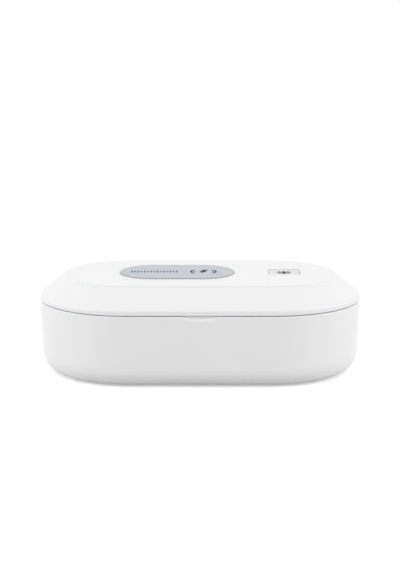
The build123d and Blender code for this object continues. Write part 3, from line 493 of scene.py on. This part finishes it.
def clear_body(name, tint, index, rough):
    """A see-through body with a faint ripple."""
    finish, tree = new_finish(name)
    place = add(tree, "ShaderNodeTexCoord").outputs["Object"]
    ripple = add(tree, "ShaderNodeTexNoise", {"Scale": 1 / RIPPLE, "Detail": 1.0}, {"Vector": place})
    bump = add(
        tree,
        "ShaderNodeBump",
        {"Strength": 0.2, "Distance": 0.02 * MM},
        {"Height": ripple.outputs["Fac"]},
    )
    shader = add(
        tree,
        "ShaderNodeBsdfPrincipled",
        {"Base Color": linear(tint), "IOR": index, "Roughness": rough, "Transmission Weight": 1.0},
        {"Normal": bump.outputs["Normal"]},
    )
    add(tree, "ShaderNodeOutputMaterial", joins={"Surface": shader.outputs[0]})
    return finish


quartz = clear_body("drawn_quartz", "#F4F6FA", 1.46, 0.02)
clear_resin = clear_body("clear_light_resin", "#F6EFDC", 1.54, 0.12)
print("clear finishes", quartz.name, clear_resin.name)

# %% [markdown]
# A circuit board is glass cloth under a green varnish. The copper tracks below show as
# slightly lighter, raised lines that run along and across. A brick pattern gives lines
# of both kinds: its joints are the gaps between tracks, and two of them, one turned, are
# taken by turns in patches of about a centimetre. The tracks lie 1.2 mm apart, as coarse
# as they need to be to show.

# %% Circuit board
TRACK = 1.2 * MM
ZONE = 11 * MM
board_varnish, tree = new_finish("green_board_varnish")
place = add(tree, "ShaderNodeTexCoord").outputs["Object"]
tracks = []
for turn, wide in ((0, 9.0), (90, 14.0)):  # degrees, and a track's length in its widths
    turned = add(
        tree,
        "ShaderNodeMapping",
        {"Rotation": (0, 0, math.radians(turn)), "Scale": (1 / TRACK,) * 3},
        {"Vector": place},
    )
    lines = add(
        tree,
        "ShaderNodeTexBrick",
        {
            "Color1": (1, 1, 1, 1),
            "Color2": (0.55, 0.55, 0.55, 1),
            "Mortar": (0, 0, 0, 1),
            "Scale": 1.0,
            "Mortar Size": 0.16,
            "Mortar Smooth": 0.2,
            "Brick Width": wide,
            "Row Height": 1.0,
        },
        {"Vector": turned.outputs["Vector"]},
    )
    tracks.append(lines.outputs["Color"])
zones = add(tree, "ShaderNodeTexNoise", {"Scale": 1 / ZONE, "Detail": 0.0}, {"Vector": place})
zone = add(
    tree,
    "ShaderNodeMapRange",
    {"From Min": 0.49, "From Max": 0.51},
    {"Value": zones.outputs["Fac"]},
)
copper_map = add(
    tree,
    "ShaderNodeMix",
    joins={"Factor": zone.outputs["Result"], "A": tracks[0], "B": tracks[1]},
    data_type="RGBA",
)
tone = add(
    tree,
    "ShaderNodeMix",
    {"A": linear("#0E4A2A"), "B": linear("#1B6E3F")},
    {"Factor": copper_map.outputs["Result"]},
    data_type="RGBA",
)
bump = add(
    tree,
    "ShaderNodeBump",
    {"Strength": 0.6, "Distance": 0.03 * MM},
    {"Height": copper_map.outputs["Result"]},
)
shader = add(
    tree,
    "ShaderNodeBsdfPrincipled",
    {"Roughness": 0.3, "Coat Weight": 0.4, "Coat Roughness": 0.15},
    {"Base Color": tone.outputs["Result"], "Normal": bump.outputs["Normal"]},
)
add(tree, "ShaderNodeOutputMaterial", joins={"Surface": shader.outputs[0]})
print("board finish", board_varnish.name, "with", len(tree.nodes), "nodes")

# %% [markdown]
# Ferrite is iron oxide, pressed and fired: dark, dull and speckled. Its grains are too
# fine to show, so the specks are drawn at 0.6 mm. A Voronoi pattern gives them, because
# its cells are round and even, where a noise would look like clouds.

# %% Ferrite
SPECK = 0.6 * MM
fired_ferrite, tree = new_finish("fired_ferrite")
place = add(tree, "ShaderNodeTexCoord").outputs["Object"]
specks = add(tree, "ShaderNodeTexVoronoi", {"Scale": 1 / SPECK}, {"Vector": place})
tone = add(
    tree,
    "ShaderNodeMix",
    {"A": linear("#3B3C3F"), "B": linear("#505155")},
    {"Factor": specks.outputs["Distance"]},
    data_type="RGBA",
)
bump = add(
    tree,
    "ShaderNodeBump",
    {"Strength": 0.5, "Distance": 0.02 * MM},
    {"Height": specks.outputs["Distance"]},
)
shader = add(
    tree,
    "ShaderNodeBsdfPrincipled",
    {"Roughness": 0.7},
    {"Base Color": tone.outputs["Result"], "Normal": bump.outputs["Normal"]},
)
add(tree, "ShaderNodeOutputMaterial", joins={"Surface": shader.outputs[0]})
print("ferrite", fired_ferrite.name)

# %% [markdown]
# The model's record names a material slot for every CAD node. The finished materials are
# given to the nodes by that name, so a node can't be forgotten: the cell stops if one has
# no finish.

# %% Finishes on the CAD nodes
FINISHES = {
    "shell_white": white_abs,
    "chamber_silver": metallised_abs,
    "pad_silicone": pad_silicone,
    "button_plastic": button_abs,
    "silicone_grey": rest_silicone,
    "foot_rubber": foot_rubber,
    "boot_rubber": boot_silicone,
    "guard_white": guard_plastic,
    "reflector_sheet": rolled_aluminium,
    "quartz": quartz,
    "screw_steel": zinc_plate,
    "plated_steel": nickel_plate,
    "board_green": board_varnish,
    "component_black": part_resin,
    "ferrite": fired_ferrite,
    "copper": enamelled_copper,
    "light_clear": clear_resin,
    "lead_sheath": lead_sheath,
}
slot_of = {row["node"]: row["material_slot"] for row in frame["record"]["subparts"]}
for name, thing in nodes.items():
    for index in range(len(thing.data.materials)):
        thing.data.materials[index] = FINISHES[slot_of[name]]
print("dressed nodes", len(nodes))

# %% [markdown]
# The charging pad and the button carry small printed signs: a bolt between two pairs of
# arcs, which stands for charging without a wire, a row of plain ticks, and a sun, which
# stands for ultraviolet light. Pad printing leaves an ink film some hundredths of a
# millimetre thick. It could be painted by a texture, but an outline drawn as a flat
# curve, filled and thickened, stays sharp at any size. The curve is turned into a mesh
# first, and only then is its place put into its points.

# %% A helper for printed signs
INK_FILM = 0.03 * MM


def printed_sign(name, outlines, place, finish):
    """Makes a mesh of filled outlines, given in mm round their own middle."""
    let_go()
    drawing = bpy.data.curves.new(name, "CURVE")
    drawing.dimensions = "2D"
    drawing.fill_mode = "BOTH"
    drawing.extrude = INK_FILM / 2
    for outline in outlines:
        line = drawing.splines.new("POLY")
        line.points.add(len(outline) - 1)
        for point, (x, y) in zip(line.points, outline):
            point.co = (x * MM, y * MM, 0, 1)
        line.use_cyclic_u = True
    sign = bpy.data.objects.new(name, drawing)
    bpy.context.collection.objects.link(sign)
    bpy.context.view_layer.objects.active = sign
    sign.select_set(True)
    bpy.ops.object.convert(target="MESH")
    sign = bpy.context.object
    sign.location = place
    bpy.ops.object.transform_apply(location=True, rotation=True, scale=True)
    sign.data.materials.clear()
    sign.data.materials.append(finish)
    let_go()
    return sign


def arc_band(radius, width, middle, half, steps=12):
    """The outline of a thick arc round the origin, in mm and degrees."""
    turns = [math.radians(middle - half + 2 * half * i / steps) for i in range(steps + 1)]
    far = radius + width / 2
    near = radius - width / 2
    outer = [(far * math.cos(turn), far * math.sin(turn)) for turn in turns]
    inner = [(near * math.cos(turn), near * math.sin(turn)) for turn in reversed(turns)]
    return outer + inner


def bar(x, y, length, width, turn):
    """The outline of a bar that starts at a point and runs out along a direction."""
    along = (math.cos(turn), math.sin(turn))
    side = (-along[1] * width / 2, along[0] * width / 2)
    ends = [(x, y), (x + along[0] * length, y + along[1] * length)]
    return [
        (ends[0][0] - side[0], ends[0][1] - side[1]),
        (ends[1][0] - side[0], ends[1][1] - side[1]),
        (ends[1][0] + side[0], ends[1][1] + side[1]),
        (ends[0][0] + side[0], ends[0][1] + side[1]),
    ]


print("an arc has", len(arc_band(8, 1, 0, 40)), "points, a bar", len(bar(0, 0, 2, 1, 0)))

# %% [markdown]
# Ink is a thin lacquer with much pigment: dull, a little uneven where the pad pressed
# harder. The signs are near black, the ticks are a softer grey.

# %% Printing inks
INK_CLOUD = 0.5 * MM


def ink(name, dark_tone, light_tone):
    """A dull printing ink with uneven cover."""
    finish, tree = new_finish(name)
    place = add(tree, "ShaderNodeTexCoord").outputs["Object"]
    cover = add(
        tree, "ShaderNodeTexNoise", {"Scale": 1 / INK_CLOUD, "Detail": 3.0}, {"Vector": place}
    )
    tone = add(
        tree,
        "ShaderNodeMix",
        {"A": linear(dark_tone), "B": linear(light_tone)},
        {"Factor": cover.outputs["Fac"]},
        data_type="RGBA",
    )
    gloss = add(
        tree, "ShaderNodeMapRange", {"To Min": 0.45, "To Max": 0.6}, {"Value": cover.outputs["Fac"]}
    )
    looks = {"Base Color": tone.outputs["Result"], "Roughness": gloss.outputs["Result"]}
    shader = add(tree, "ShaderNodeBsdfPrincipled", {"Specular IOR Level": 0.1}, looks)
    add(tree, "ShaderNodeOutputMaterial", joins={"Surface": shader.outputs[0]})
    return finish


black_ink = ink("black_pad_ink", "#0D1519", "#1A2226")
grey_ink = ink("grey_pad_ink", "#555B62", "#60666D")
print("inks", black_ink.name, grey_ink.name)

# %% [markdown]
# The charging sign is a bolt with a thick and a thin arc on each side, like waves that
# leave a coil. Left of it runs a row of ticks, long and short by turns. One side's arcs
# could be mirrored to the other. Giving each arc the way it looks, 0 or 180 degrees, does
# the same in one line. The signs lie on the pad's top, wherever that is.

# %% Charging sign
SIGN_X, SIGN_Y = 2.2, -0.7  # the sign's middle, in mm
BOLT = [(-0.2, 5.6), (2.9, 5.6), (1.6, 1.7), (3.1, 1.7), (-2.1, -5.6), (-0.9, -1.3), (-2.8, -1.3)]
ARCS = ((8.1, 1.3, 42), (6.1, 0.6, 22))  # radius and width in mm, half angle in degrees
pad_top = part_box("charge_pad")[1].z
ink_z = pad_top + INK_FILM / 2
arcs = [arc_band(radius, width, side, half) for side in (0, 180) for radius, width, half in ARCS]
sign_place = (SIGN_X * MM, SIGN_Y * MM, ink_z)
pad_sign = printed_sign("pad_charge_sign", [BOLT] + arcs, sign_place, black_ink)
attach(pad_sign, "lid")
print("charging sign at z", round(ink_z / MM, 2), "mm")

# %% Tick row
TICK_FIRST, TICK_LAST = -44.6, -15.2  # mm along the pad
TICK_COUNT = 15
TICK_HEIGHTS = (5.6, 3.8)
TICK_WIDTH = 1.1
ticks = []
for number in range(TICK_COUNT):
    x = TICK_FIRST + (TICK_LAST - TICK_FIRST) * number / (TICK_COUNT - 1)
    height = TICK_HEIGHTS[number % 2]
    ticks.append(bar(x, -height / 2, height, TICK_WIDTH, math.pi / 2))
pad_ticks = printed_sign("pad_tick_row", ticks, (0, SIGN_Y * MM, ink_z), grey_ink)
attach(pad_ticks, "lid")
print("ticks", TICK_COUNT)

# %% [markdown]
# The button's sun has a round middle and eight short rays. The middle could be a circle
# primitive, but the arc helper serves: a band all the way round, so wide that only a
# pinhole is left. The sign rides with the button, so it sinks when that is pressed.

# %% Sun on the button
DISC_RADIUS, DISC_WIDTH = 1.05, 2.0  # mm
SUN_RAYS = 8
RAY_START, RAY_LENGTH, RAY_WIDTH = 2.6, 2.2, 1.6  # mm
cap_low, cap_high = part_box("button_cap")
middle = (cap_low + cap_high) / 2
disc = arc_band(DISC_RADIUS, DISC_WIDTH, 180, 180, 24)
rays = []
for number in range(SUN_RAYS):
    turn = math.tau * number / SUN_RAYS
    start = (RAY_START * math.cos(turn), RAY_START * math.sin(turn))
    rays.append(bar(*start, RAY_LENGTH, RAY_WIDTH, turn))
sun_place = (middle.x, middle.y, cap_high.z + INK_FILM / 2)
sun = printed_sign("button_sun_sign", [disc] + rays, sun_place, black_ink)
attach(sun, "button")
print("sun on the button at z", round(cap_high.z / MM, 2), "mm")

# %% [markdown]
# The pieces inside follow. Each is shaped in edit mode from a primitive, so two helpers
# come first: one picks faces by a test, as a click would, and one finishes a piece by
# putting its place into its mesh and giving it its name, its finish and its body.


# %% Helpers for modelled pieces
def pick(piece, test):
    """Opens a piece in edit mode with just the faces selected that pass a test."""
    let_go()
    bpy.context.view_layer.objects.active = piece
    piece.select_set(True)
    bpy.ops.object.mode_set(mode="EDIT")
    bpy.ops.mesh.select_mode(type="FACE")
    bpy.ops.mesh.select_all(action="DESELECT")
    bpy.ops.object.mode_set(mode="OBJECT")
    for face in piece.data.polygons:
        face.select = test(face)
    bpy.ops.object.mode_set(mode="EDIT")


def push(x, y, z):
    """Extrudes the picked faces or edges by a vector."""
    bpy.ops.mesh.extrude_region_move(TRANSFORM_OT_translate={"value": (x, y, z)})


def settle(piece, name, finish, body):
    """Puts a piece's place into its mesh and gives it its name, finish and body."""
    let_go()
    bpy.context.view_layer.objects.active = piece
    piece.select_set(True)
    bpy.ops.object.transform_apply(location=True, rotation=True, scale=True)
    bpy.ops.object.shade_smooth_by_angle(angle=math.radians(35))
    piece.name = name
    piece.data.materials.clear()
    piece.data.materials.append(finish)
    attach(piece, body)
    let_go()
    return piece


def copy_at(piece, matrix):
    """A copy of a piece, with a mesh of its own, at another place."""
    twin = piece.copy()
    twin.data = piece.data.copy()
    twin.matrix_world = matrix
    bpy.context.collection.objects.link(twin)
    return twin


def joined(pieces):
    """Makes one object of several."""
    let_go()
    for piece in pieces:
        piece.select_set(True)
    bpy.context.view_layer.objects.active = pieces[0]
    bpy.ops.object.join()
    return bpy.context.object


print("helpers for modelled pieces are ready")

# %% [markdown]
# The coil under the pad is wound flat from enamelled wire. The plain ring could carry a
# striped texture, but a real spiral catches the light turn by turn, so the wire is one
# long curve with a round section. It takes the place of the ring.

# %% Charging coil, wound
ring_low, ring_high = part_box("charging_coil")
ring_middle = (ring_low + ring_high) / 2
ring_outer = (ring_high.x - ring_low.x) / 2
WINDING_WIDTH = 11.0 * MM
TURN_GAP = 0.04 * MM
WIRE = ring_high.z - ring_low.z
TURNS = int(WINDING_WIDTH / WIRE)
TURN_POINTS = 36
spiral = bpy.data.curves.new("coil_winding", "CURVE")
spiral.dimensions = "3D"
spiral.bevel_depth = (WIRE - TURN_GAP) / 2
spiral.bevel_resolution = 2
spiral.use_fill_caps = True
wire = spiral.splines.new("POLY")
wire.points.add(TURNS * TURN_POINTS)
for index, point in enumerate(wire.points):
    turn = math.tau * index / TURN_POINTS
    radius = ring_outer - WIRE / 2 - WIRE * index / TURN_POINTS
    point.co = (radius * math.sin(turn), radius * math.cos(turn), 0, 1)
winding = bpy.data.objects.new("coil_winding", spiral)
bpy.context.collection.objects.link(winding)
let_go()
bpy.context.view_layer.objects.active = winding
winding.select_set(True)
bpy.ops.object.convert(target="MESH")
winding = bpy.context.object
winding.location = ring_middle
settle(winding, "coil_winding", enamelled_copper, "lid")
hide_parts("charging_coil")
print("coil of", TURNS, "turns,", len(winding.data.polygons), "faces")

# %% [markdown]
# Each lamp needs an electrode at both ends: a nickel cup, open to the middle of the
# tube, on a wire that is sealed into the glass. The cup is a cylinder. Its open end is
# inset and pushed in, and its closed end is inset to the wire's size and pulled out. One
# is modelled with the wire's tip at the origin, and the four in the tubes are copies.

# %% One electrode
CUP_RADIUS = 1.2 * MM
CUP_LENGTH = 5.5 * MM
CUP_WALL = 0.15 * MM
CUP_HOLLOW = 5.0 * MM
WIRE_RADIUS = 0.25 * MM
WIRE_LENGTH = 6.0 * MM
let_go()
cup_place = (0, 0, -WIRE_LENGTH - CUP_LENGTH / 2)
bpy.ops.mesh.primitive_cylinder_add(
    vertices=24, radius=CUP_RADIUS, depth=CUP_LENGTH, location=cup_place
)
electrode = bpy.context.object
bpy.ops.object.transform_apply(location=True)
pick(electrode, lambda face: face.normal.z < -0.9)
bpy.ops.mesh.inset(thickness=CUP_WALL)
push(0, 0, CUP_HOLLOW)
bpy.ops.object.mode_set(mode="OBJECT")
pick(electrode, lambda face: face.normal.z > 0.9)
bpy.ops.mesh.inset(thickness=CUP_RADIUS - WIRE_RADIUS)
push(0, 0, WIRE_LENGTH)
bpy.ops.object.mode_set(mode="OBJECT")
print("electrode of", len(electrode.data.polygons), "faces")

# %% Electrodes in the tubes
END_WALL = 0.4 * MM
for tube, body in (("base_lamp_tube", "base"), ("lid_lamp_tube", "lid")):
    low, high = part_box(tube)
    middle = (low + high) / 2
    pair = []
    for side in (-1, 1):
        tip = Vector((middle.x + side * ((high.x - low.x) / 2 - END_WALL), middle.y, middle.z))
        place = Matrix.Translation(tip) @ Matrix.Rotation(side * math.pi / 2, 4, "Y")
        pair.append(copy_at(electrode, place))
    name = tube.replace("tube", "electrodes")
    both_ends = settle(joined(pair), name, nickel_plate, body)
    print(both_ends.name, "of", len(pair), "cups")
bpy.data.objects.remove(electrode)

# %% [markdown]
# The tongue in the socket carries two rows of twelve contacts, half a millimetre apart.
# One contact is a bevelled strip, and two array modifiers repeat it across the tongue
# and on its other face. It is gold over nickel, stamped and plated.

# %% Socket contacts
CONTACT_COUNT = 12
CONTACT_PITCH = 0.5 * MM
CONTACT_SIZE = (0.25 * MM, 3.8 * MM, 0.06 * MM)
CONTACT_EDGE = 0.015 * MM
BLADE_THICK = 0.7 * MM
BLADE_TIP = 0.5 * MM
tongue_low, tongue_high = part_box("usb_tongue")
blade_z = (tongue_low.z + tongue_high.z) / 2
gold_plate = plain_metal("gold_plate", "#E3C07A", "#CFA860", 0.22, 0.34, 0.6 * MM)
let_go()
first = (
    (tongue_low.x + tongue_high.x) / 2 - CONTACT_PITCH * (CONTACT_COUNT - 1) / 2,
    tongue_high.y - BLADE_TIP - CONTACT_SIZE[1] / 2,
    blade_z - BLADE_THICK / 2,
)
bpy.ops.mesh.primitive_cube_add(size=1, location=first, scale=CONTACT_SIZE)
contacts = bpy.context.object
bpy.ops.object.transform_apply(scale=True)
pick(contacts, lambda face: True)
bpy.ops.mesh.bevel(offset=CONTACT_EDGE, segments=1)
bpy.ops.object.mode_set(mode="OBJECT")
repeats = (
    ("across", CONTACT_COUNT, (CONTACT_PITCH, 0, 0)),
    ("faces", 2, (0, 0, BLADE_THICK)),
)
for label, count, offset in repeats:
    rows = contacts.modifiers.new(label, "ARRAY")
    rows.use_relative_offset = False
    rows.use_constant_offset = True
    rows.constant_offset_displace = offset
    rows.count = count
    bpy.ops.object.modifier_apply(modifier=label)
settle(contacts, "usb_contacts", gold_plate, "base")
print("contacts", CONTACT_COUNT * 2)

# %% [markdown]
# The boards carry plain blocks for their parts. A flat chip is known by its rows of bent
# legs, and a capacitor by the bare aluminium top of its can. The places are measured
# on the blocks themselves: a copy of a board's parts is merged, each separate island is
# boxed, and flat islands are chips while round, tall ones are capacitors. The capacitors
# all stand on boards of the base.


# %% Find the parts on the boards
def islands(name):
    """The corners and the number of points of each separate island of a CAD node."""
    whole = bmesh.new()
    whole.from_mesh(nodes[name].data)
    bmesh.ops.remove_doubles(whole, verts=whole.verts, dist=0.001 * MM)
    left = set(whole.verts)
    found = []
    while left:
        group = [left.pop()]
        for vert in group:
            for edge in vert.link_edges:
                other = edge.other_vert(vert)
                if other in left:
                    left.remove(other)
                    group.append(other)
        low = Vector([min(vert.co[axis] for vert in group) for axis in range(3)])
        high = Vector([max(vert.co[axis] for vert in group) for axis in range(3)])
        found.append((low, high, len(group)))
    whole.free()
    return found


CHIP_HEIGHT = 2.3 * MM  # a chip is lower than this
CAN_HEIGHT = 7.0 * MM  # a capacitor is taller than this
ROUND_POINTS = 24  # a round island has more points than this
BOARD_PARTS = {"main_board_parts": "base", "lamp_driver_parts": "base", "charger_parts": "lid"}
chips = []
cans = []
for name, body in BOARD_PARTS.items():
    for low, high, count in islands(name):
        if high.z - low.z < CHIP_HEIGHT:
            chips.append((body, low, high))
        elif high.z - low.z > CAN_HEIGHT and count > ROUND_POINTS:
            cans.append((low, high))
print("chips", len(chips), "cans", len(cans))

# %% [markdown]
# A leg leaves the chip's side half way up, bends to the board and ends in a short foot.
# It starts as a narrow plane. Its far edge is extruded twice, and a Solidify modifier
# gives it the thickness of the stamped frame. All the legs of a chip are copies of one.

# %% Chip legs
LEG_PITCH = 0.8 * MM
LEG_WIDTH = 0.35 * MM
LEG_THICK = 0.14 * MM
LEG_OUT = 0.3 * MM
LEG_SLANT = 0.1 * MM
LEG_FOOT = 0.45 * MM


def chip_leg(drop):
    """A leg at the origin that runs out along +X and down to the board by a drop."""
    let_go()
    bpy.ops.mesh.primitive_plane_add(size=1, location=(LEG_OUT / 2, 0, 0))
    leg = bpy.context.object
    leg.scale = (LEG_OUT, LEG_WIDTH, 1)
    bpy.ops.object.transform_apply(location=True, scale=True)
    bpy.ops.object.mode_set(mode="EDIT")
    bpy.ops.mesh.select_mode(type="EDGE")
    bpy.ops.mesh.select_all(action="DESELECT")
    bpy.ops.object.mode_set(mode="OBJECT")
    for edge in leg.data.edges:
        edge.select = all(leg.data.vertices[v].co.x > 0.9 * LEG_OUT for v in edge.vertices)
    bpy.ops.object.mode_set(mode="EDIT")
    push(LEG_SLANT, 0, drop)
    push(LEG_FOOT, 0, 0)
    bpy.ops.object.mode_set(mode="OBJECT")
    wall = leg.modifiers.new("wall", "SOLIDIFY")
    wall.thickness = LEG_THICK
    wall.offset = 0
    bpy.ops.object.modifier_apply(modifier="wall")
    pick(leg, lambda face: True)
    bpy.ops.mesh.normals_make_consistent(inside=False)
    bpy.ops.object.mode_set(mode="OBJECT")
    return leg


legs = {"base": [], "lid": []}
for body, low, high in chips:
    middle = (low + high) / 2
    wide, deep = high.x - low.x, high.y - low.y
    model = chip_leg(high.z - middle.z - LEG_THICK / 2)
    for span, reach, turn in ((deep, wide / 2, 0), (wide, deep / 2, 90)):
        count = int((span - LEG_PITCH) / LEG_PITCH) + 1
        for side in (0, 180):
            facing = Matrix.Translation(middle) @ Matrix.Rotation(math.radians(turn + side), 4, "Z")
            for number in range(count):
                shift = (number - (count - 1) / 2) * LEG_PITCH
                place = facing @ Matrix.Translation((reach, shift, 0))
                legs[body].append(copy_at(model, place))
    bpy.data.objects.remove(model)
for body, copies in legs.items():
    rows = settle(joined(copies), body + "_chip_legs", zinc_plate, body)
    print(rows.name, len(copies), "legs")

# %% [markdown]
# A capacitor's top is the bare aluminium of its can, pressed in by a hair within a plain
# rim. A texture could show a pale round, but not the rim, so a flat cylinder is inset and
# its middle is pushed in. Each top takes its size from its can.

# %% Capacitor tops
TOP_SHARE = 0.86  # of the can's radius
TOP_THICK = 0.1 * MM
TOP_RIM = 0.35 * MM
TOP_DENT = 0.06 * MM
can_tops = []
for low, high in cans:
    let_go()
    middle = (low + high) / 2
    radius = (high.x - low.x) / 2 * TOP_SHARE
    place = (middle.x, middle.y, low.z - TOP_THICK / 2)
    bpy.ops.mesh.primitive_cylinder_add(vertices=32, radius=radius, depth=TOP_THICK, location=place)
    can_top = bpy.context.object
    bpy.ops.object.transform_apply(location=True)
    pick(can_top, lambda face: face.normal.z < -0.9)
    bpy.ops.mesh.inset(thickness=TOP_RIM)
    push(0, 0, TOP_DENT)
    bpy.ops.object.mode_set(mode="OBJECT")
    can_tops.append(can_top)
settle(joined(can_tops), "capacitor_tops", rolled_aluminium, "base")
print("capacitor tops", len(can_tops))
